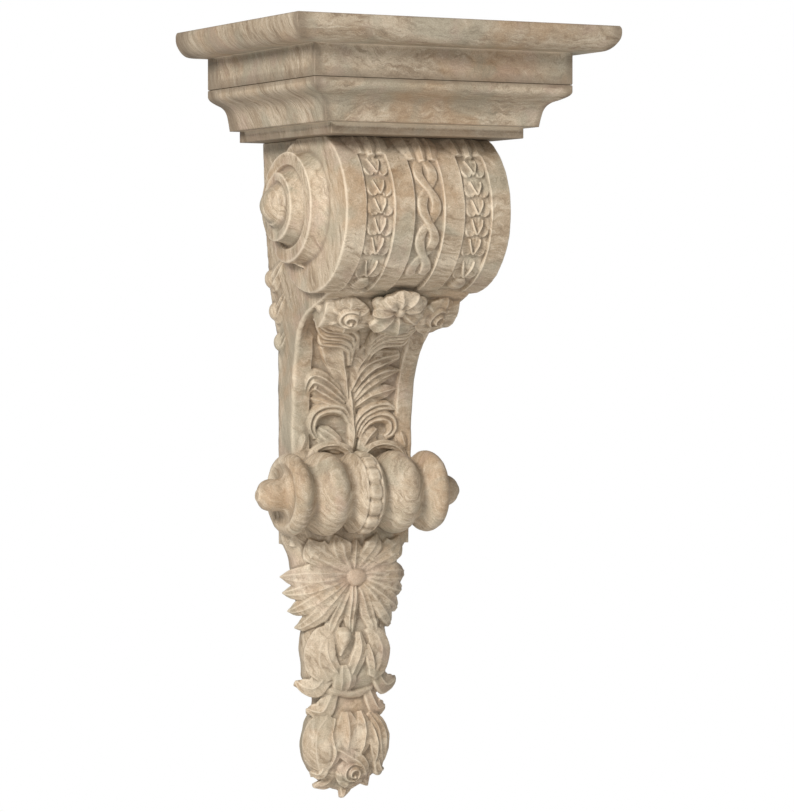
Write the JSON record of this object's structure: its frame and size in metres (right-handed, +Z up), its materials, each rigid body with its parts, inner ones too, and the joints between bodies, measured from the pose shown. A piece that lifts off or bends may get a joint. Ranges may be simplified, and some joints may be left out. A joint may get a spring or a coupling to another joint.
{
  "type": "carved stone corbel",
  "caption": "Wall bracket of carved stone with a moulded shelf, a drum scroll with side volutes, a leaf-carved shaft, a rolled foot and a hanging leaf pendant",
  "frame": {"origin": "on the wall face, on the centreline, level with the axis of the upper scroll", "axes": "+X to the right as seen from the front, +Y into the wall, +Z up; the carved front faces -Y"},
  "size_m": [0.45, 0.355, 0.9909],
  "materials": {
    "slab_stone": "honed beige travertine with streaked cream and brown veins",
    "moulding_stone": "honed beige travertine with streaked cream and brown veins",
    "carved_stone": "carved beige travertine, softly rubbed on the arrises and darker in the hollows"
  },
  "bodies": {
    "root": {"shelf_slab": "slab_stone", "bed_moulding": "moulding_stone", "scroll_bracket": "carved_stone"}
  },
  "joints": []
}
